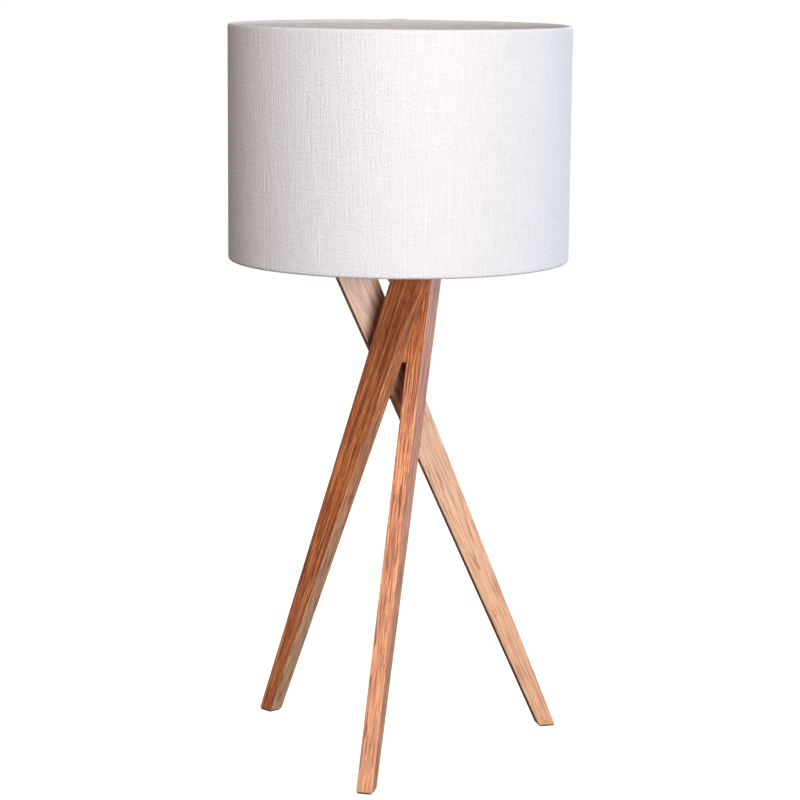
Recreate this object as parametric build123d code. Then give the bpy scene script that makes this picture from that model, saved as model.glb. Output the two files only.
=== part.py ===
"""Tripod table lamp: three crossed oak boards, a hidden hub and lampholder, and a drum shade.

Millimetres. +Z is up. The origin is on the table, straight below the shade's axis.
"""
from build123d import *
import math
import os

os.makedirs("parts", exist_ok=True)

# ---- driving dimensions ------------------------------------------------------------------

# legs: flat boards, each in a vertical plane that passes beside the lamp's axis
LEG_HEADINGS = {"front": -106.2, "right": 13.8, "left": 133.8}  # azimuth from the axis to each foot
LEG_OFFSET = 12.07          # axis to the board's inner face
LEG_THICK = 14.24
LEG_TOP = 450.0
LEG_EDGE_ROUND = 1.1
LOWER_EDGE = (158.41, 0.4100)   # board's lower edge: reach at z = 0, and how fast it comes in
UPPER_EDGE = (142.56, 0.4570)   # board's upper edge, the same
PAD_THICK = 1.5
PAD_INSET = 0.7
PAD_CORNER = 2.0

# hub block, with one flat for each leg
HUB_BOTTOM = 352.0
HUB_TOP = 388.0
HUB_CORNER_R = 16.0
HUB_CHAMFER = 1.0
HUB_BORE_R = 5.15
COUNTERBORE_R = 9.6
COUNTERBORE_DEPTH = 7.0
DOWEL_R = 2.5
DOWEL_IN_HUB = 5.4
DOWEL_IN_LEG = 9.5
DOWEL_SPOTS = ((0.0, 366.5), (-5.0, 380.5))   # place along the board, height

# stem, its nuts and washers, and the cord gland
STEM_R = 5.0
STEM_BORE_R = 4.0
STEM_BOTTOM = 353.0
STEM_TOP = 439.0
WASHER_R = 9.0
WASHER_THICK = 1.0
NUT_FLATS = 14.0
NUT_THICK = 4.0
NUT_CHAMFER = 0.7
STEM_FIT = 0.05             # slack round the stem in everything threaded on it
GLAND_FLANGE_R = 6.0
GLAND_FLANGE = 1.5
GLAND_CHAMFER = 0.5
GLAND_SPIGOT = 7.5
GLAND_FIT = 0.03
CORD_BORE_R = 3.3

# collar and lampholder
COLLAR_BOTTOM = 421.5
COLLAR_R = 9.7
COLLAR_ROUND = 4.5          # below, where it meets the stem
COLLAR_TOP_ROUND = 0.8
CAP_BOTTOM = 431.0
CAP_TOP = 455.0
CAP_NECK_R = 10.0
CAP_NECK_TOP = 438.0
CAP_R = 20.5
CAP_WALL = 2.3
GRUB_Z = 434.5
GRUB_R = 1.5
GRUB_SOCKET_R = 0.8
GRUB_SOCKET_DEPTH = 1.4
SHOULDER_BOTTOM = 461.0
SHOULDER_TOP = 464.0
SHOULDER_R = 24.0
SHOULDER_ROUND = 0.6
SKIRT_BOTTOM = 449.0
SKIRT_TOP = 488.0
SKIRT_FIT = 0.2             # slack of the skirt's spigot in the cap
SKIRT_THREAD_R = 19.7
SKIRT_THREADS = 8
SKIRT_THREAD_DEPTH = 0.8
SKIRT_BORE_R = 16.0
SKIRT_LIP_R = 14.7
SKIRT_LIP_THICK = 2.5
SHELL_R = 13.9
SHELL_THICK = 0.4
SHELL_CREST = 0.5
SHELL_BOTTOM = 458.0
SHELL_TOP = 485.0
SHELL_PLAIN = 4.0           # unthreaded length at the shell's foot
DISC_BOTTOM = 452.0
TERMINAL_X = 8.5
TERMINAL_SIZE = (5.0, 6.0, 7.0)
TERMINAL_SCREW_Z = 448.0
TERMINAL_SCREW_R = 1.4
TERMINAL_HEAD_R = 2.4
TERMINAL_HEAD_LENGTH = 1.8
TERMINAL_SLOT = (1.6, 0.7, 6.0)
CONTACT_WIDTH = 6.0
CONTACT_THICK = 0.5
CONTACT_FOOT = (-9.0, -3.0)     # where the spring leaf's foot starts and ends
CONTACT_TIP = (0.5, 4.0)        # where the flat under the bulb starts and ends
CONTACT_GAP = 0.4               # from the leaf up to the bulb's own contact

# clamp ring and shade carrier
JOINT_GAP = 0.2
CARRIER_THICK = 1.8
CARRIER_R = 28.0
CARRIER_BORE_R = 20.3
ARM_R = 1.6
ARM_RUN = 10.0              # level run from the carrier ring before the arm bends down
ARM_BEND_R = 12.0
WELD_GAP = 0.05
ARM_AZIMUTHS = (106.5, 226.5, 346.5)
CLAMP_R = 27.0
CLAMP_BORE_R = 20.0
CLAMP_HEIGHT = 11.0
CLAMP_CHAMFER = 1.2
CLAMP_GRIPS = 24
GRIP_R = 1.6
GRIP_OUT = 0.8              # from the ring's rim out to a grip's centre
CLAMP_FLANGE = 2.5

# shade
SHADE_R = 150.0
SHADE_BOTTOM = 443.1
SHADE_TOP = 647.7
FABRIC_THICK = 0.5
LINER_THICK = 0.6
WIRE_R = 1.2
HEM_DEPTH = 9.0

# bulb
BULB_TIP = 463.7
BULB_CAP_BOTTOM = 468.0
BULB_CAP_TOP = 491.0
BULB_CONTACT_R = 4.5
BULB_CONTACT_THICK = 1.2
BULB_CONTACT_ROUND = 0.8
BULB_THREAD_R = 13.1
BULB_CRESTS = 5
BULB_CREST_R = 1.1
BULB_CAP_THICK = 0.4
BULB_SEAL = 1.5             # thickness of the insulator's rim inside the cap
THREAD_PITCH = 3.6
NECK_R = 11.8
NECK_BOTTOM = 485.0
GLOBE_R = 30.0
GLOBE_TOP = 568.5
GLASS_THICK = 0.9
FILAMENT_LOW = 517.0
FILAMENT_HIGH = 549.0
FILAMENT_LOW_R = 5.0
FILAMENT_HIGH_R = 9.0
FILAMENT_R = 0.9
FILAMENT_AZIMUTHS = (45, 135, 225, 315)
LEAD_R = 0.35
POST_R = 1.2
FLARE = ((4.5, 9.0), (3.2, 22.0), (POST_R, 24.0))    # glass flare's outline above the neck's foot

# ---- helpers -----------------------------------------------------------------------------


def save(name, shape):
    """Write one node and print its volume."""
    export_step(shape, f"parts/{name}.step")
    print(f"{name:22s} {shape.volume:12.2f} mm3")


def ring(outer, inner, low, high):
    """A plain round ring or, with inner 0, a disc."""
    body = Pos(0, 0, low) * extrude(Circle(outer), high - low)
    if inner > 0:
        body -= Pos(0, 0, low - 1) * extrude(Circle(inner), high - low + 2)
    return body


def turned(*points):
    """Revolve a closed outline of (radius, height) points about the lamp's axis."""
    outline = make_face(Plane.XZ * Polyline(*points, close=True))
    return revolve(outline, Axis.Z)


def rod(radius, start, end):
    """A round rod between two points."""
    line = Vector(*end) - Vector(*start)
    return Plane(origin=start, z_dir=line) * extrude(Circle(radius), line.length)


def hexagon_nut(low):
    """A hex nut with a plain bore and chamfered corners."""
    nut = extrude(RegularPolygon(NUT_FLATS / 2, 6, major_radius=False), NUT_THICK)
    corner_r = NUT_FLATS / 2 / math.cos(math.pi / 6)
    nut &= chamfer(extrude(Circle(corner_r), NUT_THICK).edges(), NUT_CHAMFER)
    nut -= extrude(Circle(STEM_R + STEM_FIT), NUT_THICK)
    return Pos(0, 0, low) * nut


def leg_plane(heading, offset):
    """A plane on the board at this distance from the axis: x along the board, y up, facing the axis."""
    across = math.radians(heading + 90)
    along = math.radians(heading)
    normal = Vector(math.cos(across), math.sin(across), 0)
    return Plane(
        origin=normal * offset,
        x_dir=(math.cos(along), math.sin(along), 0),
        z_dir=normal * -1,
    )


def edge_reach(edge, height):
    """Distance along the board from the axis to one of its edges, at this height."""
    return edge[0] - edge[1] * height


# ---- legs, pads, hub ---------------------------------------------------------------------


def dowels(heading):
    """The two dowels that join one leg to the hub."""
    plane = leg_plane(heading, LEG_OFFSET + DOWEL_IN_LEG)
    length = DOWEL_IN_LEG + DOWEL_IN_HUB
    return [plane * Pos(q, z, 0) * extrude(Circle(DOWEL_R), length) for q, z in DOWEL_SPOTS]


def leg(heading):
    """One tapered board, cut level at both ends, with its long edges rounded."""
    corners = [
        (edge_reach(LOWER_EDGE, PAD_THICK), PAD_THICK),
        (edge_reach(LOWER_EDGE, LEG_TOP), LEG_TOP),
        (edge_reach(UPPER_EDGE, LEG_TOP), LEG_TOP),
        (edge_reach(UPPER_EDGE, PAD_THICK), PAD_THICK),
    ]
    board = extrude(make_face(Polyline(*corners, close=True)), LEG_THICK)
    long_edges = [e for e in board.edges() if e.length > LEG_TOP / 2]
    board = fillet(long_edges, LEG_EDGE_ROUND)
    board = leg_plane(heading, LEG_OFFSET + LEG_THICK) * board
    for dowel in dowels(heading):
        board -= dowel
    return board


def pad(heading):
    """A thin rubber pad under one foot."""
    near = edge_reach(UPPER_EDGE, 0)
    far = edge_reach(LOWER_EDGE, 0)
    shape = RectangleRounded(far - near - 2 * PAD_INSET, LEG_THICK - 2 * PAD_INSET, PAD_CORNER)
    middle = Pos((near + far) / 2, LEG_OFFSET + LEG_THICK / 2, 0)
    return Rot(0, 0, heading) * (middle * extrude(shape, PAD_THICK))


def hub_block():
    """Round block with three flats, a through bore, a counterbore below and dowel holes."""
    hub = ring(HUB_CORNER_R, 0, HUB_BOTTOM, HUB_TOP)
    hub = chamfer(hub.edges(), HUB_CHAMFER)
    height = HUB_TOP - HUB_BOTTOM
    for heading in LEG_HEADINGS.values():
        beyond = leg_plane(heading, LEG_OFFSET + HUB_CORNER_R)
        slab = extrude(Rectangle(4 * HUB_CORNER_R, height + 2), HUB_CORNER_R)
        hub -= beyond * Pos(0, (HUB_TOP + HUB_BOTTOM) / 2, 0) * slab
    hub -= ring(HUB_BORE_R, 0, HUB_BOTTOM - 1, HUB_TOP + 1)
    hub -= ring(COUNTERBORE_R, 0, HUB_BOTTOM - 1, HUB_BOTTOM + COUNTERBORE_DEPTH)
    for heading in LEG_HEADINGS.values():
        for dowel in dowels(heading):
            hub -= dowel
    return hub


all_dowels = []
for name, heading in LEG_HEADINGS.items():
    save(f"leg_{name}", leg(heading))
    save(f"foot_pad_{name}", pad(heading))
    all_dowels += dowels(heading)
save("hub_block", hub_block())
save("leg_dowels", Compound(children=all_dowels))

# ---- stem --------------------------------------------------------------------------------

counterbore_top = HUB_BOTTOM + COUNTERBORE_DEPTH
threaded_r = STEM_R + STEM_FIT
lower_washer = ring(WASHER_R, threaded_r, counterbore_top - WASHER_THICK, counterbore_top)
upper_washer = ring(WASHER_R, threaded_r, HUB_TOP, HUB_TOP + WASHER_THICK)
lower_nut = hexagon_nut(counterbore_top - WASHER_THICK - NUT_THICK)
upper_nut = hexagon_nut(HUB_TOP + WASHER_THICK)
save("stem_tube", ring(STEM_R, STEM_BORE_R, STEM_BOTTOM, STEM_TOP))
save("stem_washers", Compound(children=[lower_washer, upper_washer]))
save("stem_nuts", Compound(children=[lower_nut, upper_nut]))

gland = ring(GLAND_FLANGE_R, 0, STEM_BOTTOM - GLAND_FLANGE, STEM_BOTTOM)
gland = chamfer(gland.edges().group_by(Axis.Z)[0], GLAND_CHAMFER)
gland += ring(STEM_BORE_R - GLAND_FIT, 0, STEM_BOTTOM, STEM_BOTTOM + GLAND_SPIGOT)
gland -= ring(CORD_BORE_R, 0, STEM_BOTTOM - GLAND_FLANGE - 1, STEM_BOTTOM + GLAND_SPIGOT + 1)
save("cord_gland", gland)

# ---- collar and lampholder ---------------------------------------------------------------

collar = ring(COLLAR_R, 0, COLLAR_BOTTOM, CAP_BOTTOM)
collar = fillet(collar.edges().group_by(Axis.Z)[0], COLLAR_ROUND)
collar = fillet(collar.edges().group_by(Axis.Z)[-1], COLLAR_TOP_ROUND)
collar -= ring(threaded_r, 0, COLLAR_BOTTOM - 1, CAP_BOTTOM + 1)
save("stem_collar", collar)

grub_start = STEM_R + 2 * STEM_FIT
grub_end = CAP_NECK_R - 0.6
grub_screw = rod(GRUB_R, (0, grub_start, GRUB_Z), (0, grub_end, GRUB_Z))
grub_screw -= rod(GRUB_SOCKET_R, (0, grub_end - GRUB_SOCKET_DEPTH, GRUB_Z), (0, CAP_NECK_R, GRUB_Z))
cap = turned(
    (threaded_r, CAP_BOTTOM),
    (CAP_NECK_R, CAP_BOTTOM),
    (CAP_NECK_R, CAP_NECK_TOP - 1),
    (CAP_R - 4, CAP_NECK_TOP + 3),
    (CAP_R, CAP_NECK_TOP + 7),
    (CAP_R, CAP_TOP),
    (CAP_R - CAP_WALL, CAP_TOP),
    (CAP_R - CAP_WALL, CAP_NECK_TOP + 8),
    (CAP_R - CAP_WALL - 3.6, CAP_NECK_TOP + 5),
    (threaded_r, CAP_NECK_TOP + 1),
)
cap -= rod(GRUB_R + STEM_FIT, (0, STEM_R - 1, GRUB_Z), (0, CAP_NECK_R + 1, GRUB_Z))
save("holder_cap", cap)
save("cap_grub_screw", grub_screw)

spigot_r = CAP_R - CAP_WALL - SKIRT_FIT
skirt = ring(spigot_r, SKIRT_BORE_R, SKIRT_BOTTOM, CAP_TOP)
skirt += ring(CAP_R, SKIRT_BORE_R, CAP_TOP, SHOULDER_BOTTOM)
skirt += fillet(ring(SHOULDER_R, 0, SHOULDER_BOTTOM, SHOULDER_TOP).edges(), SHOULDER_ROUND)
skirt += ring(SKIRT_THREAD_R, 0, SHOULDER_TOP, SKIRT_TOP)
skirt -= ring(SKIRT_BORE_R, 0, SKIRT_BOTTOM, SKIRT_TOP - SKIRT_LIP_THICK)
skirt -= ring(SKIRT_LIP_R, 0, SKIRT_BOTTOM, SKIRT_TOP + 1)
thread_step = (SKIRT_TOP - SHOULDER_TOP - 4) / SKIRT_THREADS
for turn in range(SKIRT_THREADS):
    z = SHOULDER_TOP + 3 + turn * thread_step
    skirt -= turned(
        (SKIRT_THREAD_R + 1, z),
        (SKIRT_THREAD_R - SKIRT_THREAD_DEPTH, z + SKIRT_THREAD_DEPTH),
        (SKIRT_THREAD_R + 1, z + 2 * SKIRT_THREAD_DEPTH),
    )
save("holder_skirt", skirt)

terminal_blocks = []
terminal_screws = []
disc = ring(SKIRT_BORE_R - 0.2, 0, DISC_BOTTOM, SHELL_BOTTOM)
for side in (-1, 1):
    block = Pos(side * TERMINAL_X, 0, DISC_BOTTOM - TERMINAL_SIZE[2] / 2) * Box(*TERMINAL_SIZE)
    inner_end = (side * (TERMINAL_X - TERMINAL_SIZE[0] / 2), 0, TERMINAL_SCREW_Z)
    under_head = (side * (TERMINAL_X + TERMINAL_SIZE[0] / 2), 0, TERMINAL_SCREW_Z)
    outer_end = (under_head[0] + side * TERMINAL_HEAD_LENGTH, 0, TERMINAL_SCREW_Z)
    shank = rod(TERMINAL_SCREW_R, inner_end, under_head)
    head = rod(TERMINAL_HEAD_R, under_head, outer_end)
    slot = Pos(*outer_end) * Box(*TERMINAL_SLOT)
    terminal_blocks.append(block - shank)
    terminal_screws.append(shank + head - slot)
save("holder_disc", disc)
save("terminal_blocks", Compound(children=terminal_blocks))
save("terminal_screws", Compound(children=terminal_screws))

leaf_top = BULB_TIP - CONTACT_GAP
bend_shift = 0.3
leaf = Polyline(
    (CONTACT_FOOT[0], SHELL_BOTTOM),
    (CONTACT_FOOT[1], SHELL_BOTTOM),
    (CONTACT_TIP[0], leaf_top - CONTACT_THICK),
    (CONTACT_TIP[1], leaf_top - CONTACT_THICK),
    (CONTACT_TIP[1], leaf_top),
    (CONTACT_TIP[0] - bend_shift, leaf_top),
    (CONTACT_FOOT[1] - bend_shift, SHELL_BOTTOM + CONTACT_THICK),
    (CONTACT_FOOT[0], SHELL_BOTTOM + CONTACT_THICK),
    close=True,
)
leaf_strip = extrude(make_face(Plane.XZ * leaf), CONTACT_WIDTH)
save("centre_contact", Pos(0, CONTACT_WIDTH / 2, 0) * leaf_strip)

screw_shell = ring(SHELL_R, SHELL_R - SHELL_THICK, SHELL_BOTTOM, SHELL_TOP)
shell_crests = int((SHELL_TOP - SHELL_BOTTOM - SHELL_PLAIN) / THREAD_PITCH)
for turn in range(shell_crests):
    z = SHELL_BOTTOM + SHELL_PLAIN + turn * THREAD_PITCH
    screw_shell += ring(SHELL_R + SHELL_CREST, SHELL_R - SHELL_THICK / 2, z, z + THREAD_PITCH / 2)
save("screw_shell", screw_shell)

# ---- shade clamp ring and carrier --------------------------------------------------------

carrier_low = SHOULDER_TOP + JOINT_GAP
carrier_high = carrier_low + CARRIER_THICK
clamp_low = carrier_high + JOINT_GAP
clamp_high = clamp_low + CLAMP_HEIGHT


def clamp_ring():
    """The ring nut, with scalloped grips that stop short of its lower flange."""
    body = ring(CLAMP_R, 0, clamp_low, clamp_high)
    body = chamfer(body.edges(), CLAMP_CHAMFER)
    body -= ring(CLAMP_BORE_R, 0, clamp_low - 1, clamp_high + 1)
    for grip in range(CLAMP_GRIPS):
        angle = math.radians(grip * 360 / CLAMP_GRIPS)
        x = (CLAMP_R + GRIP_OUT) * math.cos(angle)
        y = (CLAMP_R + GRIP_OUT) * math.sin(angle)
        body -= rod(GRIP_R, (x, y, clamp_low + CLAMP_FLANGE), (x, y, clamp_high + 1))
    return body


save("clamp_ring", clamp_ring())
save("carrier_ring", ring(CARRIER_R, CARRIER_BORE_R, carrier_low, carrier_high))

wire_centre_r = SHADE_R - FABRIC_THICK - LINER_THICK - WIRE_R
hem_r = SHADE_R - wire_centre_r
low_wire_z = SHADE_BOTTOM + hem_r
high_wire_z = SHADE_TOP - hem_r


def hoop(height, wire_r=WIRE_R):
    """A round wire bent into a hoop just inside the liner."""
    return Pos(0, 0, height) * Torus(wire_centre_r, wire_r)


def carrier_arm(azimuth):
    """A wire from the carrier ring's edge out and down to the lower hoop."""
    arm_z = (carrier_low + carrier_high) / 2
    start = (CARRIER_R - 1, 0, arm_z)
    bend = (CARRIER_R + ARM_RUN, 0, arm_z)
    path = FilletPolyline(start, bend, (wire_centre_r, 0, low_wire_z), radius=ARM_BEND_R)
    arm = sweep(Plane(origin=path @ 0, z_dir=path % 0) * Circle(ARM_R), path)
    arm -= ring(CARRIER_R, 0, carrier_low - 5, carrier_high + 5)
    arm -= hoop(low_wire_z, WIRE_R + WELD_GAP)
    arm -= ring(SHADE_R, wire_centre_r, low_wire_z - 5, low_wire_z + 5)
    return Rot(0, 0, azimuth) * arm


arms = [carrier_arm(azimuth) for azimuth in ARM_AZIMUTHS]
save("carrier_arms", Compound(children=arms))
save("hoop_lower", hoop(low_wire_z))
save("hoop_upper", hoop(high_wire_z))

# ---- shade cloth and liner ---------------------------------------------------------------


def hem_section(wire_z, up):
    """The cloth's turned edge: half round over the hoop, then a flap lying against the liner."""
    roll = Circle(hem_r) - Circle(hem_r - FABRIC_THICK)
    roll &= Pos(0, up * hem_r) * Rectangle(3 * hem_r, 2 * hem_r)
    liner_face = hem_r - FABRIC_THICK - LINER_THICK
    flap = make_face(
        Polyline(
            (-hem_r, 0),
            (FABRIC_THICK - hem_r, 0),
            (liner_face, -up * (HEM_DEPTH - 1)),
            (liner_face, -up * HEM_DEPTH),
            close=True,
        )
    )
    return Pos(wire_centre_r, wire_z) * (roll + flap)


def shade_fabric():
    """One piece of cloth round the drum, its two edges turned over the hoops."""
    wall = Rectangle(FABRIC_THICK, high_wire_z - low_wire_z)
    wall = Pos(SHADE_R - FABRIC_THICK / 2, (low_wire_z + high_wire_z) / 2) * wall
    section = wall + hem_section(low_wire_z, -1) + hem_section(high_wire_z, 1)
    cloth = revolve(Plane.XZ * section, Axis.Z)
    for arm in arms:
        cloth -= arm
    return cloth


save("shade_fabric", shade_fabric())
liner_r = SHADE_R - FABRIC_THICK
save("shade_liner", ring(liner_r, liner_r - LINER_THICK, low_wire_z, high_wire_z))

# ---- bulb --------------------------------------------------------------------------------

crown_z = GLOBE_TOP - GLOBE_R


def globe_curve(inset):
    """Half outline of the glass from its neck to its crown, drawn this far inside the surface."""
    neck = Line((NECK_R - inset, NECK_BOTTOM), (NECK_R - inset, BULB_CAP_TOP + 1))
    crown = CenterArc((0, crown_z), GLOBE_R - inset, -20, 110)
    shoulder = Spline(neck @ 1, crown @ 0, tangents=[(0.3, 1), crown % 0])
    return neck, shoulder, crown


def globe():
    """Pear-shaped glass, open at its neck."""
    outer = globe_curve(0)
    inner = globe_curve(GLASS_THICK)
    foot = Line(outer[0] @ 0, inner[0] @ 0)
    pole = Line(outer[2] @ 1, inner[2] @ 1)
    return revolve(Plane.XZ * make_face([*outer, pole, *inner, foot]), Axis.Z)


def bulb_cap():
    """Thin threaded cap: rounded rings stand for its thread, with a plain collar above."""
    shell = ring(NECK_R + BULB_CAP_THICK, 0, BULB_CAP_BOTTOM, BULB_CAP_TOP)
    for crest in range(BULB_CRESTS):
        z = BULB_CAP_BOTTOM + 2.4 + crest * THREAD_PITCH
        shell += Pos(0, 0, z) * Torus(BULB_THREAD_R - BULB_CREST_R, BULB_CREST_R)
    shell -= ring(NECK_R, 0, BULB_CAP_BOTTOM - 1, BULB_CAP_TOP + 1)
    return shell


def bulb_insulator():
    """Dark glass cone that closes the cap's end round the contact."""
    return turned(
        (0, BULB_TIP + BULB_CONTACT_THICK),
        (BULB_CONTACT_R, BULB_TIP + BULB_CONTACT_THICK),
        (NECK_R - 2 * BULB_CAP_THICK, BULB_CAP_BOTTOM),
        (NECK_R, BULB_CAP_BOTTOM),
        (NECK_R, BULB_CAP_BOTTOM + BULB_SEAL),
        (0, BULB_CAP_BOTTOM + BULB_SEAL),
    )


def bulb_stem():
    """Glass flare that seals the neck, with a post that carries the filaments."""
    inner = NECK_R - GLASS_THICK
    return turned(
        (0, NECK_BOTTOM),
        (inner, NECK_BOTTOM),
        (inner, NECK_BOTTOM + 1.2),
        *[(radius, NECK_BOTTOM + rise) for radius, rise in FLARE],
        (POST_R, FILAMENT_HIGH + 1),
        (0, FILAMENT_HIGH + 1),
    )


def filaments():
    """Four slim LED filaments standing round the post."""
    rods = []
    leads = []
    for azimuth in FILAMENT_AZIMUTHS:
        c = math.cos(math.radians(azimuth))
        s = math.sin(math.radians(azimuth))
        low = (FILAMENT_LOW_R * c, FILAMENT_LOW_R * s, FILAMENT_LOW)
        high = (FILAMENT_HIGH_R * c, FILAMENT_HIGH_R * s, FILAMENT_HIGH)
        rods.append(rod(FILAMENT_R, low, high))
        for tip in (low, high):
            reach = math.hypot(tip[0], tip[1])
            outer = (reach - 0.2) * c, (reach - 0.2) * s, tip[2]
            inner = (POST_R + 0.1) * c, (POST_R + 0.1) * s, tip[2]
            leads.append(rod(LEAD_R, inner, outer) - rods[-1])
    return rods, leads


save("bulb_globe", globe())
save("bulb_cap", bulb_cap())
save("bulb_insulator", bulb_insulator())
contact = ring(BULB_CONTACT_R, 0, BULB_TIP, BULB_TIP + BULB_CONTACT_THICK)
save("bulb_contact", fillet(contact.edges().group_by(Axis.Z)[0], BULB_CONTACT_ROUND))
save("bulb_stem", bulb_stem())
filament_rods, filament_leads = filaments()
save("bulb_filaments", Compound(children=filament_rods))
save("bulb_leads", Compound(children=filament_leads))
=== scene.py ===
"""Looks for the tripod table lamp: camera, floor, light, materials and the shade's cloth.

Everything is in metres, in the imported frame: the table is at z = 0 and the lamp's axis is Z.
"""
import math

import bpy
import numpy as np
from mathutils import Matrix, Vector


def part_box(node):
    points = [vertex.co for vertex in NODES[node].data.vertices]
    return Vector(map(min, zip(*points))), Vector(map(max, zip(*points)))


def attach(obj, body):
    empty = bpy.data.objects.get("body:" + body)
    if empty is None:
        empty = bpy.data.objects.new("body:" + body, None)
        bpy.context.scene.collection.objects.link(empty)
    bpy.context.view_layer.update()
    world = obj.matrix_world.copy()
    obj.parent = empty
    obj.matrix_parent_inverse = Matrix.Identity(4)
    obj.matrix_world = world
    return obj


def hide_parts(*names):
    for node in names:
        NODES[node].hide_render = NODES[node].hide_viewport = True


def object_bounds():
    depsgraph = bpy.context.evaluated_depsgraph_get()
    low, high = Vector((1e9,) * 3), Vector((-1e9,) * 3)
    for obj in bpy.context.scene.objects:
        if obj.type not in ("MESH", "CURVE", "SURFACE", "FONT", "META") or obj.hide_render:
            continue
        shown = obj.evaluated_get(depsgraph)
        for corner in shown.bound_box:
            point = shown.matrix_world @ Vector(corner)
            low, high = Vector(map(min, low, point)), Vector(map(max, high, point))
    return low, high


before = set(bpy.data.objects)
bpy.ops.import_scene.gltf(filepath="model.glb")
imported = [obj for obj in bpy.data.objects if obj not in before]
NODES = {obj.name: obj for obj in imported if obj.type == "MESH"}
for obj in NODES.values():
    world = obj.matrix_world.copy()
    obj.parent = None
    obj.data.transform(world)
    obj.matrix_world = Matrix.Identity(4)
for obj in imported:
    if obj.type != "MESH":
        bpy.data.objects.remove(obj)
CAD_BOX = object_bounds()

MM = 0.001

# ---- camera ------------------------------------------------------------------------------

CAMERA_PLACE = (0.0, -2.2905, 0.7116)
CAMERA_YAW = math.radians(0.077)
CAMERA_PITCH = math.radians(10.934)     # looking down
CAMERA_ROLL = math.radians(0.528)
CAMERA_LENS = 117.015                   # millimetres, on a sensor this wide
CAMERA_SENSOR = 36
CAMERA_SHIFT_Y = 0.06465
CAMERA_REACH = 200


def make_camera():
    """A long lens in front of the lamp, a little above the shade, looking slightly down."""
    yaw, pitch, roll = CAMERA_YAW, CAMERA_PITCH, CAMERA_ROLL
    ahead = Vector(
        (math.sin(yaw) * math.cos(pitch), math.cos(yaw) * math.cos(pitch), -math.sin(pitch))
    )
    level = ahead.cross(Vector((0, 0, 1))).normalized()
    upright = level.cross(ahead)
    right = math.cos(roll) * level + math.sin(roll) * upright
    up = math.cos(roll) * upright - math.sin(roll) * level
    data = bpy.data.cameras.new("camera")
    data.sensor_width = CAMERA_SENSOR
    data.lens = CAMERA_LENS
    data.shift_y = CAMERA_SHIFT_Y
    data.clip_end = CAMERA_REACH
    camera = bpy.data.objects.new("camera", data)
    axes = Matrix((right, up, -ahead)).transposed()
    camera.matrix_world = Matrix.Translation(CAMERA_PLACE) @ axes.to_4x4()
    bpy.context.scene.collection.objects.link(camera)
    bpy.context.scene.camera = camera


# ---- small helpers -----------------------------------------------------------------------


class Shader:
    """A material under construction: adds nodes and joins them."""

    def __init__(self, name):
        self.material = bpy.data.materials.new(name)
        self.material.use_nodes = True
        self.tree = self.material.node_tree
        self.tree.nodes.clear()
        self.surface = self.add("ShaderNodeBsdfPrincipled")
        output = self.add("ShaderNodeOutputMaterial")
        self.tree.links.new(self.surface.outputs["BSDF"], output.inputs["Surface"])

    def add(self, kind, **settings):
        """A node, with its settings."""
        node = self.tree.nodes.new(kind)
        for key, value in settings.items():
            setattr(node, key, value)
        return node

    def feed(self, node, socket, value):
        """Join a socket to the input, or set the input's value."""
        target = node.inputs[socket]
        if isinstance(value, bpy.types.NodeSocket):
            self.tree.links.new(value, target)
        else:
            target.default_value = value

    def set(self, **values):
        """Inputs of the surface shader, by name with _ for each space."""
        for key, value in values.items():
            self.feed(self.surface, key.replace("_", " "), value)

    def math(self, operation, a, b=0.0, c=0.0):
        """One arithmetic node."""
        node = self.add("ShaderNodeMath", operation=operation)
        self.feed(node, 0, a)
        self.feed(node, 1, b)
        self.feed(node, 2, c)
        return node.outputs[0]

    def remap(self, value, low, high, to_low=0.0, to_high=1.0):
        """Map one range onto another, clamped."""
        node = self.add("ShaderNodeMapRange")
        for socket, number in zip((0, 1, 2, 3, 4), (value, low, high, to_low, to_high)):
            self.feed(node, socket, number)
        return node.outputs[0]

    def scaled(self, vector, scale, place=(0, 0, 0), turn=(0, 0, 0)):
        """A mapping node."""
        node = self.add("ShaderNodeMapping")
        self.feed(node, "Vector", vector)
        self.feed(node, "Location", place)
        self.feed(node, "Rotation", turn)
        self.feed(node, "Scale", scale)
        return node.outputs[0]

    def weigh(self, value, weight, total):
        """Add a noise to a total, by how far it is from its middle value, one half."""
        return self.math("MULTIPLY_ADD", self.math("SUBTRACT", value, 0.5), weight, total)

    def noise(self, vector, scale=1.0, detail=2.0, roughness=0.5):
        """Noise from 0 to 1."""
        node = self.add("ShaderNodeTexNoise")
        for socket, value in (
            ("Vector", vector),
            ("Scale", scale),
            ("Detail", detail),
            ("Roughness", roughness),
        ):
            self.feed(node, socket, value)
        return node.outputs[0]

    def ramp(self, value, *stops):
        """A colour ramp of (place, colour) stops."""
        node = self.add("ShaderNodeValToRGB")
        elements = node.color_ramp.elements
        while len(elements) < len(stops):
            elements.new(0.5)
        for element, (place, colour) in zip(elements, stops):
            element.position = place
            element.color = (*colour, 1)
        self.feed(node, "Fac", value)
        return node.outputs["Color"]

    def mix(self, factor, a, b):
        """Mix two colours, from a at 0 to b at 1."""
        node = self.add("ShaderNodeMix", data_type="RGBA")
        self.feed(node, 0, factor)
        self.feed(node, 6, a if isinstance(a, bpy.types.NodeSocket) else (*a, 1))
        self.feed(node, 7, b if isinstance(b, bpy.types.NodeSocket) else (*b, 1))
        return node.outputs[2]

    def bump(self, height, distance, strength):
        """A bump whose height of 1 stands this distance proud."""
        node = self.add("ShaderNodeBump")
        self.feed(node, "Height", height)
        self.feed(node, "Distance", distance)
        self.feed(node, "Strength", strength)
        return node.outputs[0]


def srgb(red, green, blue):
    """A display colour, 0 to 255, as the linear colour that shaders take."""
    return tuple(
        (c / 255 / 12.92) if c <= 10 else ((c / 255 + 0.055) / 1.055) ** 2.4
        for c in (red, green, blue)
    )


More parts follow.
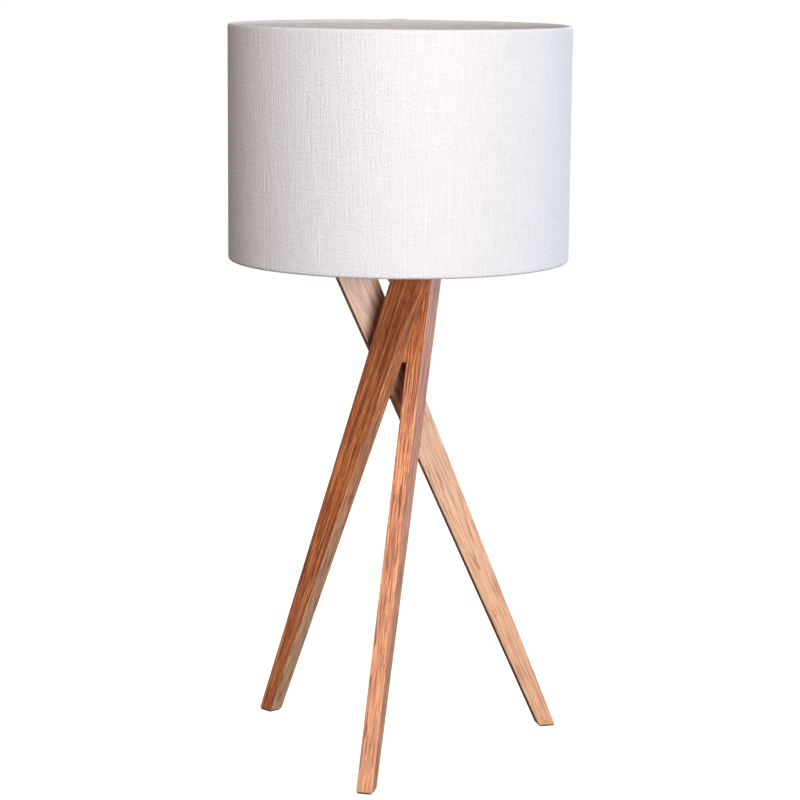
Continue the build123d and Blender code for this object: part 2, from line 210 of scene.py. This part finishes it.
def paint(material, *names):
    """Give CAD nodes their material."""
    for name in names:
        mesh = NODES[name].data
        mesh.materials.clear()
        mesh.materials.append(material)


# ---- oak ---------------------------------------------------------------------------------

LEG_HEADINGS = {"leg_front": -106.2, "leg_right": 13.8, "leg_left": 133.8}   # degrees, of the feet
LEG_LEAN = 23.43       # degrees from upright
GRAIN_STEP = 0.37      # how far along the log the next board was cut
BOARD_LENGTH = 0.45
HUB_CUT, DOWEL_CUT = 5, 9      # how many steps along the log these were cut

# Where each board was cut from its log: place of the pith across the board (width, thickness),
# then how strong its ring bands, its long fine lines and its dark pores are, how light its wood
# is, how much painted light makes it paler at the foot and at the top, and how much sheen its
# oil has. The painted light is painted shade on the legs' upper ends, under the lamp's shade,
# and on the right leg a painted sheen of the key light over the whole board.
BOARDS = {
    "leg_front": ((0.012, 0.060), 0.12, 0.28, 1.00, 0.02, (0.38, 0.00), 0.4),
    "leg_right": ((0.075, 0.030), 0.08, 0.22, 0.70, 0.06, (0.60, 0.64), 0.9),
    "leg_left": ((0.050, 0.034), 0.12, 0.36, 0.80, -0.06, (0.14, 0.00), 0.5),
    "hub_block": ((0.040, 0.030), 0.40, 0.20, 0.60, -0.04, (0.00, 0.00), 0.3),
    "leg_dowels": ((0.060, 0.050), 0.30, 0.20, 0.40, -0.04, (0.00, 0.00), 0.3),
}

# How much painted light makes the inner narrow face of a board paler at the foot, besides; none
# at the top: a lit copy of the wood, on the face turned to the lights.
EDGE_PAINTED_LIGHT = {"leg_left": 0.60}
EDGE_FACING = (0.55, 0.75)     # how squarely a face looks inward before it counts as that face

# How many times the wood's figure repeats in a metre: along the grain, and twice across it.
WANDER = (7, 16, 16)
WAVER = (34, 60, 60)
FIBRES = (26, 620, 620)
LINES = (6, 820, 820)
PORES = (34, 1000, 1000)
FLECKS = (30, 1000, 1000)
GRIT = (120, 760, 760)
RINGS_ALONG, RINGS_ACROSS = 1.6, 300
WANDER_WIDTH, WAVER_WIDTH = 0.010, 0.0012      # how far the rings stray from round

OAK_TONES = (
    (0.10, srgb(122, 45, 15)),
    (0.36, srgb(167, 78, 31)),
    (0.58, srgb(199, 104, 46)),
    (0.85, srgb(230, 152, 86)),
)
# A pale wood tone, mixed in as painted light: paler feet, a lit inner face and a painted sheen.
PAINTED_LIGHT_TONE = srgb(226, 192, 154)
PORE_TONE = srgb(108, 40, 14)
PORE_COVER = 0.72
PORE_DEPTH = 0.00014
OAK_ROUGHNESS = (0.50, 0.42)   # of dark wood and of light wood


def board_turn(name):
    """Rotation that lays a leg's grain along X, its width along Y and its thickness along Z."""
    heading = math.radians(LEG_HEADINGS[name])
    lean = math.radians(LEG_LEAN)
    out = Vector((math.cos(heading), math.sin(heading), 0))
    up = Vector((0, 0, 1))
    along = up * math.cos(lean) - out * math.sin(lean)
    width = out * math.cos(lean) + up * math.sin(lean)
    return Matrix((along, width, along.cross(width))).to_euler("XYZ")


def oak(name, turn, seed):
    """Oiled oak: uneven growth rings cut lengthways, long fibres, short dark pores; painted light."""
    pith, ring_strength, line_strength, pore_strength, light, pale, sheen = BOARDS[name]
    m = Shader(f"oak_{name}")
    place = m.add("ShaderNodeTexCoord").outputs["Object"]
    grain = m.scaled(place, (1, 1, 1), (seed * GRAIN_STEP, pith[0], pith[1]), turn)
    split = m.add("ShaderNodeSeparateXYZ")
    m.feed(split, 0, grain)
    along, wide, deep = split.outputs

    wander = m.noise(m.scaled(grain, WANDER), detail=2)
    waver = m.noise(m.scaled(grain, WAVER), detail=2)
    radius = m.math("SQRT", m.math("MULTIPLY_ADD", wide, wide, m.math("MULTIPLY", deep, deep)))
    radius = m.math("MULTIPLY_ADD", wander, WANDER_WIDTH, radius)
    radius = m.math("MULTIPLY_ADD", waver, WAVER_WIDTH, radius)
    rings_at = m.add("ShaderNodeCombineXYZ")
    m.feed(rings_at, 0, m.math("MULTIPLY", along, RINGS_ALONG))
    m.feed(rings_at, 1, m.math("MULTIPLY", radius, RINGS_ACROSS))
    bands = m.noise(rings_at.outputs[0], detail=3, roughness=0.62)
    late = m.remap(bands, 0.40, 0.62)

    fibres = m.noise(m.scaled(grain, FIBRES), detail=3, roughness=0.66)
    lines = m.remap(m.noise(m.scaled(grain, LINES), detail=1), 0.42, 0.58)
    pores = m.noise(m.scaled(grain, PORES), detail=0)
    pore_mask = m.remap(m.math("MULTIPLY_ADD", late, 0.02, pores), 0.600, 0.630)
    flecks = m.remap(m.noise(m.scaled(grain, FLECKS), detail=0), 0.58, 0.61)
    grit = m.noise(m.scaled(grain, GRIT), detail=2, roughness=0.6)

    tone = m.weigh(bands, 1.9 * ring_strength, 0.5 + light)
    tone = m.weigh(lines, line_strength, tone)
    tone = m.weigh(fibres, 1.45, tone)
    tone = m.weigh(grit, 0.90, tone)
    tone = m.math("MULTIPLY_ADD", flecks, 0.20, tone)
    colour = m.ramp(tone, *OAK_TONES)
    # Painted light: the pale tone is mixed in more at the foot than at the top (painted shade under
    # the lamp's shade), and all over the right leg (painted sheen).
    foot = seed * GRAIN_STEP
    painted_light = m.remap(along, foot, foot + BOARD_LENGTH, *pale)
    # Painted light: the left leg's inner narrow face, turned to the lights, is painted paler.
    if name in EDGE_PAINTED_LIGHT:
        facing = m.add("ShaderNodeVectorMath", operation="DOT_PRODUCT")
        m.feed(facing, 0, m.add("ShaderNodeTexCoord").outputs["Normal"])
        m.feed(facing, 1, -turn.to_matrix()[1])
        edge = m.remap(facing.outputs["Value"], *EDGE_FACING)
        edge_pale = m.remap(along, foot, foot + BOARD_LENGTH, EDGE_PAINTED_LIGHT[name], 0.0)
        painted_light = m.math("MULTIPLY_ADD", edge, edge_pale, painted_light)
    colour = m.mix(painted_light, colour, PAINTED_LIGHT_TONE)
    dark = m.math("MULTIPLY", pore_mask, PORE_COVER * pore_strength)
    colour = m.mix(dark, colour, PORE_TONE)

    height = m.math("MULTIPLY", pore_mask, -1.0)
    height = m.math("MULTIPLY_ADD", fibres, 0.6, height)
    m.set(
        Base_Color=colour,
        Roughness=m.remap(tone, 0.2, 0.8, *OAK_ROUGHNESS),
        Normal=m.bump(height, PORE_DEPTH, 0.6),
        Specular_IOR_Level=0.5,
        Coat_Weight=sheen,
        Coat_Roughness=0.40,
    )
    return m.material


# ---- shade: linen outside, smooth lining inside ------------------------------------------

CLOTH_PITCH = 1.3 * MM
YARN_SWAY = 0.005              # how far a yarn strays from straight
LINEN_RELIEF = 0.6 * MM

# How many times the cloth's marks repeat in a metre: round the drum, and up it.
SWAY = (60, 60, 1)
WARP_YARN, WEFT_YARN = (480, 36, 1), (36, 480, 1)
WARP_SLUB, WEFT_SLUB = (760, 8, 1), (9, 760, 1)
MOTTLE = (520, 520, 1)

LINEN_TONES = (
    (0.15, srgb(188, 184, 181)),
    (0.50, srgb(207, 206, 204)),
    (0.85, srgb(224, 224, 224)),
)


def linen():
    """Plain-woven linen. The cloth's UV is its own surface in metres: round the drum, and up."""
    m = Shader("linen")
    uv = m.add("ShaderNodeUVMap", uv_map="cloth").outputs[0]
    sway = m.noise(m.scaled(uv, SWAY), detail=3)
    split = m.add("ShaderNodeSeparateXYZ")
    m.feed(split, 0, uv)
    lean = m.math("MULTIPLY", m.math("SUBTRACT", sway, 0.5), YARN_SWAY)
    across = m.math("ADD", split.outputs[0], lean)
    upward = m.math("ADD", split.outputs[1], lean)
    half_turn = math.pi / CLOTH_PITCH
    warp = m.math("SINE", m.math("MULTIPLY", across, half_turn))
    weft = m.math("SINE", m.math("MULTIPLY", upward, half_turn))
    weave = m.math("MULTIPLY", warp, weft)

    warp_yarn = m.noise(m.scaled(uv, WARP_YARN), detail=2, roughness=0.55)
    weft_yarn = m.noise(m.scaled(uv, WEFT_YARN), detail=2, roughness=0.55)
    warp_slub = m.remap(m.noise(m.scaled(uv, WARP_SLUB), detail=1), 0.675, 0.73)
    weft_slub = m.remap(m.noise(m.scaled(uv, WEFT_SLUB), detail=1), 0.685, 0.74)
    mottle = m.noise(m.scaled(uv, MOTTLE), detail=2)

    tone = m.math("MULTIPLY_ADD", weave, 0.01, 0.50)
    tone = m.weigh(warp_yarn, 0.26, tone)
    tone = m.weigh(weft_yarn, 0.18, tone)
    tone = m.weigh(mottle, 0.45, tone)
    tone = m.math("MULTIPLY_ADD", warp_slub, 0.24, tone)
    tone = m.math("MULTIPLY_ADD", weft_slub, 0.22, tone)
    height = m.math("MULTIPLY_ADD", weave, 0.04, m.math("MULTIPLY", warp_yarn, 1.1))
    height = m.math("MULTIPLY_ADD", weft_yarn, 0.35, height)
    height = m.math("MULTIPLY_ADD", mottle, 0.9, height)
    height = m.math("MULTIPLY_ADD", warp_slub, 0.25, height)
    height = m.math("MULTIPLY_ADD", weft_slub, 0.2, height)
    m.set(
        Base_Color=m.ramp(tone, *LINEN_TONES),
        Roughness=0.86,
        Specular_IOR_Level=0.25,
        Sheen_Weight=0.12,
        Sheen_Roughness=0.5,
        Normal=m.bump(height, LINEN_RELIEF, 0.85),
    )
    return m.material


SEAM_AZIMUTH = math.radians(90)        # at the back
LAP = 10 * MM
LAP_GAP = 0.03 * MM
CLOTH_THICK = 0.5 * MM
FLAP = 9 * MM                          # of cloth past each roll, glued inside the drum
PUCKER = 0.05 * MM
PUCKERS_ROUND, PUCKERS_UP, PUCKER_BEND = 41, 23, 1.3
CLOTH_COLUMNS = 1150
WALL_ROWS = 170
ROLL_ROWS = 13
FLAP_ROWS = 4

# Thick places in the yarn: how many, how wide and tall, and how high they stand.
SLUBS = (
    (520, 0.7 * MM, 22 * MM, 0.06 * MM),
    (150, 18 * MM, 0.6 * MM, 0.05 * MM),
)
SLUB_SEED = 7
SLUB_REACH = 2.5               # half-widths from its middle, where a slub has faded out


def cloth_outline():
    """The cloth's section, from inside the lower edge, round the wall, to inside the upper edge."""
    low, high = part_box("shade_fabric")
    wire_low, wire_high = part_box("hoop_lower")
    wire_r = (wire_high.z - wire_low.z) / 2
    low_z = (wire_high.z + wire_low.z) / 2
    roll = low_z - low.z
    high_z = high.z - roll
    centre = high.x - roll
    face = centre + wire_r - CLOTH_THICK
    inside = centre - roll
    steps = np.linspace(0, 1, FLAP_ROWS + 1)[:-1]
    turn = np.linspace(0, math.pi, ROLL_ROWS)
    lower_flap = [(face + (inside - face) * s, low_z + FLAP * (1 - s)) for s in steps]
    lower_roll = [(centre - roll * math.cos(a), low_z - roll * math.sin(a)) for a in turn]
    wall = [(high.x, z) for z in np.linspace(low_z, high_z, WALL_ROWS)[1:-1]]
    upper_roll = [(centre + roll * math.cos(a), high_z + roll * math.sin(a)) for a in turn]
    upper_flap = [(face + (inside - face) * s, high_z - FLAP * (1 - s)) for s in steps[::-1]]
    return np.array(lower_flap + lower_roll + wall + upper_roll + upper_flap)


def slub_height(u, v):
    """Height of the thick places in the yarn, over a grid of places round and up the cloth."""
    rng = np.random.default_rng(SLUB_SEED)
    height = np.zeros((len(u), len(v)))
    for count, wide, tall, rise in SLUBS:
        for _ in range(count):
            cu, cv = rng.uniform(u[0], u[-1]), rng.uniform(v[0], v[-1])
            ru, rv = wide * rng.uniform(0.8, 1.5), tall * rng.uniform(0.5, 1.8)
            i = slice(*np.searchsorted(u, (cu - SLUB_REACH * ru, cu + SLUB_REACH * ru)))
            j = slice(*np.searchsorted(v, (cv - SLUB_REACH * rv, cv + SLUB_REACH * rv)))
            du = (u[i, None] - cu) / ru
            dv = (v[None, j] - cv) / rv
            height[i, j] += rise * rng.uniform(0.3, 1.0) * np.exp(-(du**2 + dv**2))
    return height


def shade_cloth(material):
    """One sheet of linen round the drum, rolled over both hoops and lapped at the back."""
    outline = cloth_outline()
    radius = outline[:, 0].max()
    turn = math.tau + LAP / radius
    angle = SEAM_AZIMUTH + np.linspace(0, turn, CLOTH_COLUMNS)
    u = (angle - SEAM_AZIMUTH) * radius
    v = np.concatenate([[0], np.cumsum(np.hypot(*np.diff(outline, axis=0).T))])
    slope = np.gradient(outline, v, axis=0)
    normal = np.stack([slope[:, 1], -slope[:, 0]], 1)
    normal /= np.linalg.norm(normal, axis=1)[:, None]

    rise = slub_height(u, v)
    climb = np.clip((u - (u[-1] - 2.2 * LAP)) / (1.2 * LAP), 0, 1)
    lap = (climb**2 * (3 - 2 * climb)) * (CLOTH_THICK + LAP_GAP)
    rise = rise + lap[:, None]
    bend = PUCKER_BEND * np.sin(v[None, :] * PUCKERS_UP)
    rise += PUCKER * np.sin(u[:, None] * PUCKERS_ROUND + bend) ** 2
    r = outline[None, :, 0] + normal[None, :, 0] * rise
    z = outline[None, :, 1] + normal[None, :, 1] * rise
    x = r * np.cos(angle)[:, None]
    y = r * np.sin(angle)[:, None]
    points = np.stack([x, y, z], -1).reshape(-1, 3)

    columns, rows = len(u), len(v)
    index = np.arange(columns * rows).reshape(columns, rows)
    corners = (index[:-1, :-1], index[1:, :-1], index[1:, 1:], index[:-1, 1:])
    faces = np.stack(corners, -1).reshape(-1, 4)
    mesh = bpy.data.meshes.new("shade_cloth")
    mesh.from_pydata(points.tolist(), [], faces.tolist())
    layer = mesh.uv_layers.new(name="cloth")
    flat = np.stack(np.broadcast_arrays(u[:, None], v[None, :]), -1).reshape(-1, 2)
    layer.data.foreach_set("uv", flat[faces.reshape(-1)].astype(np.float32).reshape(-1))
    mesh.shade_smooth()
    mesh.materials.append(material)
    cloth = bpy.data.objects.new("shade_cloth", mesh)
    bpy.context.scene.collection.objects.link(cloth)
    solid = cloth.modifiers.new("thickness", "SOLIDIFY")
    solid.thickness = CLOTH_THICK
    solid.offset = -1
    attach(cloth, "shade")
    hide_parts("shade_fabric")


# ---- other materials ---------------------------------------------------------------------


TARNISH = 140                  # clouds in a metre
SCRATCHES = (500, 500, 6000)
TARNISHED = 0.76               # how much of its brightness tarnished metal keeps
SCRATCH_DEPTH = 0.02 * MM


def metal(name, colour, roughness, thread=None):
    """Metal with fine scratches and slight tarnish or, with thread a pitch, rings of screw thread."""
    m = Shader(name)
    place = m.add("ShaderNodeTexCoord").outputs["Object"]
    tarnish = m.noise(m.scaled(place, (TARNISH, TARNISH, TARNISH)), detail=3)
    dark = tuple(c * TARNISHED for c in colour)
    m.set(
        Metallic=1.0,
        Base_Color=m.mix(m.remap(tarnish, 0.45, 0.75), colour, dark),
        Roughness=m.weigh(tarnish, 0.25, roughness),
    )
    if thread:
        split = m.add("ShaderNodeSeparateXYZ")
        m.feed(split, 0, place)
        height = m.math("SINE", m.math("MULTIPLY", split.outputs[2], math.tau / thread))
        depth = 0.3 * thread
    else:
        scratch = m.noise(m.scaled(place, SCRATCHES), detail=2)
        height = m.math("MULTIPLY", scratch, 0.3)
        depth = SCRATCH_DEPTH
    m.set(Normal=m.bump(height, depth, 0.6))
    return m.material


def moulded(name, colour, roughness, grain=900, rise=0.02 * MM, coat=0.0):
    """Moulded plastic, rubber, enamel or ceramic: a faint mould texture and uneven gloss."""
    m = Shader(name)
    place = m.add("ShaderNodeTexCoord").outputs["Object"]
    fine = m.noise(place, scale=grain, detail=2)
    cloud = m.noise(place, scale=55, detail=3)
    worn = tuple(min(1, c * 1.12 + 0.004) for c in colour)
    m.set(
        Base_Color=m.mix(m.remap(cloud, 0.4, 0.75), colour, worn),
        Roughness=m.weigh(cloud, 0.15, roughness),
        Normal=m.bump(fine, rise, 0.5),
        Coat_Weight=coat,
    )
    return m.material


def lining():
    """The shade's smooth lining: thin glossy film with a faint wave from the cloth behind it."""
    m = Shader("shade_lining")
    place = m.add("ShaderNodeTexCoord").outputs["Object"]
    wave = m.noise(m.scaled(place, (30, 30, 12)), detail=2)
    orange = m.noise(place, scale=520, detail=1)
    height = m.math("MULTIPLY_ADD", orange, 0.12, wave)
    m.set(
        Base_Color=m.mix(wave, srgb(238, 236, 234), srgb(246, 245, 244)),
        Roughness=m.remap(wave, 0.3, 0.7, 0.20, 0.28),
        Specular_IOR_Level=0.5,
        Normal=m.bump(height, 0.6 * MM, 0.35),
    )
    return m.material


def glass(name, roughness):
    """Bulb glass, clear or frosted by its roughness."""
    m = Shader(name)
    place = m.add("ShaderNodeTexCoord").outputs["Object"]
    frost = m.noise(place, scale=2600, detail=1)
    m.set(
        Base_Color=(0.96, 0.96, 0.95, 1),
        Transmission_Weight=1.0,
        IOR=1.47,
        Roughness=m.remap(frost, 0.2, 0.8, roughness * 0.85, roughness),
    )
    return m.material


def paint_nodes():
    """Give every carried-over node its finish."""
    for seed, name in enumerate(LEG_HEADINGS):
        paint(oak(name, board_turn(name), seed), name)
    upright = Matrix(((0, 0, 1), (1, 0, 0), (0, 1, 0))).to_euler("XYZ")
    paint(oak("hub_block", upright, HUB_CUT), "hub_block")
    paint(oak("leg_dowels", upright, DOWEL_CUT), "leg_dowels")
    rubber = moulded("rubber", (0.028, 0.026, 0.025), 0.75, 2500, 0.05 * MM)
    paint(rubber, "foot_pad_front", "foot_pad_left", "foot_pad_right")
    steel = metal("zinc_steel", (0.66, 0.66, 0.66), 0.32)
    paint(steel, "stem_washers", "stem_nuts", "cap_grub_screw", "terminal_screws", "bulb_leads")
    paint(metal("threaded_brass", (0.70, 0.50, 0.24), 0.30, thread=1.0 * MM), "stem_tube")
    paint(metal("polished_brass", (0.83, 0.60, 0.30), 0.16), "stem_collar")
    satin = metal("satin_brass", (0.72, 0.52, 0.26), 0.30)
    paint(satin, "terminal_blocks", "centre_contact", "screw_shell")
    paint(moulded("gland_plastic", (0.020, 0.019, 0.018), 0.45), "cord_gland")
    resin = moulded("holder_resin", (0.018, 0.017, 0.016), 0.26, coat=0.3)
    paint(resin, "holder_cap", "holder_skirt", "clamp_ring")
    paint(moulded("steatite", srgb(232, 226, 214), 0.6, 1800), "holder_disc")
    enamel = moulded("white_enamel", srgb(232, 231, 229), 0.34, 600, coat=0.2)
    paint(enamel, "carrier_ring", "carrier_arms", "hoop_lower", "hoop_upper")
    paint(lining(), "shade_liner")
    paint(glass("frosted_glass", 0.42), "bulb_globe")
    paint(glass("stem_glass", 0.06), "bulb_stem")
    paint(metal("bulb_aluminium", (0.80, 0.80, 0.81), 0.28), "bulb_cap")
    paint(moulded("vitrite", (0.012, 0.012, 0.014), 0.15), "bulb_insulator")
    paint(metal("solder", (0.55, 0.55, 0.56), 0.45), "bulb_contact")
    paint(moulded("phosphor", srgb(240, 200, 96), 0.6, 3000), "bulb_filaments")


# ---- floor and light ---------------------------------------------------------------------

FLOOR_RADIUS = 6.0
BEND_RADIUS = 2.5
BEND_ROWS = 13
WALL_TOP = 3.5
FLOOR_STEPS = 64

FLAG_X = -0.8
FLAG_Y = (-0.5, 1.0)
FLAG_Z = (0.02, 0.36)
BROWN = (0.34, 0.15, 0.07, 1)

BELOW, ABOVE = 0.36, 0.07      # light that comes up off the floor, and down from the room
HORIZON = 0.2                  # how far from level one turns into the other
LIGHT_DISTANCE = 2.4

# Soft boxes: azimuth from the camera's side, + to its right, and elevation, both in degrees;
# width and height in metres; watts; colour.
LIGHTS = {
    "key": (16, 6, (0.8, 0.8), 54, (0.90, 0.92, 1.0)),
    "high": (-10, 45, (1.1, 1.1), 36, (1.0, 0.87, 0.84)),
    "left": (-105, 18, (1.1, 1.1), 9, (1.0, 0.95, 0.95)),
    "fill": (60, 30, (1.1, 1.1), 10, (1.0, 0.95, 0.90)),
    "right": (120, 8, (1.1, 1.1), 46, (0.64, 0.76, 1.0)),
    "back": (165, 25, (1.4, 1.4), 30, (1.0, 1.0, 1.0)),
}


def pale_floor():
    """A round pale floor whose edge curves up into a wall all the way round.

    It glows by itself, and the lamp doesn't see it: the world's lower half lights the lamp instead.
    """
    profile = []
    for a in np.linspace(0, math.pi / 2, BEND_ROWS):
        profile.append((FLOOR_RADIUS + BEND_RADIUS * math.sin(a), BEND_RADIUS * (1 - math.cos(a))))
    profile.append((FLOOR_RADIUS + BEND_RADIUS, WALL_TOP))
    turns = np.arange(FLOOR_STEPS) * math.tau / FLOOR_STEPS
    points = [(0, 0, 0)]
    points += [(r * math.cos(t), r * math.sin(t), z) for r, z in profile for t in turns]
    faces = []
    for k in range(FLOOR_STEPS):
        after = (k + 1) % FLOOR_STEPS
        faces.append((0, 1 + k, 1 + after))
        for row in range(len(profile) - 1):
            low, high = 1 + row * FLOOR_STEPS, 1 + (row + 1) * FLOOR_STEPS
            faces.append((low + k, high + k, high + after, low + after))
    mesh = bpy.data.meshes.new("floor")
    mesh.from_pydata(points, [], faces)
    mesh.shade_smooth()
    m = Shader("floor")
    m.set(Base_Color=(0.25, 0.25, 0.25, 1), Roughness=0.9, Specular_IOR_Level=0.0)
    m.set(Emission_Color=(1.0, 0.99, 0.98, 1), Emission_Strength=1.0)
    m.material.cycles.emission_sampling = "NONE"
    mesh.materials.append(m.material)
    floor = bpy.data.objects.new("floor", mesh)
    floor.visible_diffuse = False
    floor.visible_glossy = False
    bpy.context.scene.collection.objects.link(floor)


def dark_flag():
    """A brown board on the lamp's left, out of sight, that keeps light off the legs' left sides."""
    mesh = bpy.data.meshes.new("flag")
    (near, far), (low, high) = FLAG_Y, FLAG_Z
    corners = [(FLAG_X, y, z) for y, z in ((near, low), (far, low), (far, high), (near, high))]
    mesh.from_pydata(corners, [], [(0, 1, 2, 3)])
    m = Shader("flag")
    m.set(Base_Color=BROWN, Roughness=0.9, Specular_IOR_Level=0.0)
    mesh.materials.append(m.material)
    flag = bpy.data.objects.new("flag", mesh)
    flag.visible_camera = False
    bpy.context.scene.collection.objects.link(flag)


def soft_light(name, azimuth, elevation, size, power, colour):
    """A soft box that looks at the middle of the lamp."""
    data = bpy.data.lights.new(name, "AREA")
    data.shape = "RECTANGLE"
    data.size, data.size_y = size
    data.energy = power
    data.color = colour
    light = bpy.data.objects.new(name, data)
    light.visible_camera = False
    a, e = math.radians(azimuth), math.radians(elevation)
    middle = Vector((0, 0, CAD_BOX[1][2] / 2))
    away = Vector((math.sin(a) * math.cos(e), -math.cos(a) * math.cos(e), math.sin(e)))
    light.location = middle + LIGHT_DISTANCE * away
    light.rotation_euler = (-away).to_track_quat("-Z", "Y").to_euler()
    bpy.context.scene.collection.objects.link(light)


def light_scene():
    """Soft studio light: a low key from the front, a cool box from the right, and light from below."""
    world = bpy.data.worlds.new("studio")
    world.use_nodes = True
    tree = world.node_tree
    direction = tree.nodes.new("ShaderNodeTexCoord").outputs["Generated"]
    split = tree.nodes.new("ShaderNodeSeparateXYZ")
    glow = tree.nodes.new("ShaderNodeMapRange")
    for socket, value in zip((1, 2, 3, 4), (-HORIZON, HORIZON, BELOW, ABOVE)):
        glow.inputs[socket].default_value = value
    tree.links.new(direction, split.inputs[0])
    tree.links.new(split.outputs[2], glow.inputs[0])
    tree.links.new(glow.outputs[0], tree.nodes["Background"].inputs["Strength"])
    bpy.context.scene.world = world
    for name, settings in LIGHTS.items():
        soft_light(name, *settings)
    bpy.context.scene.view_settings.view_transform = "Standard"


make_camera()
pale_floor()
dark_flag()
light_scene()
paint_nodes()
shade_cloth(linen())
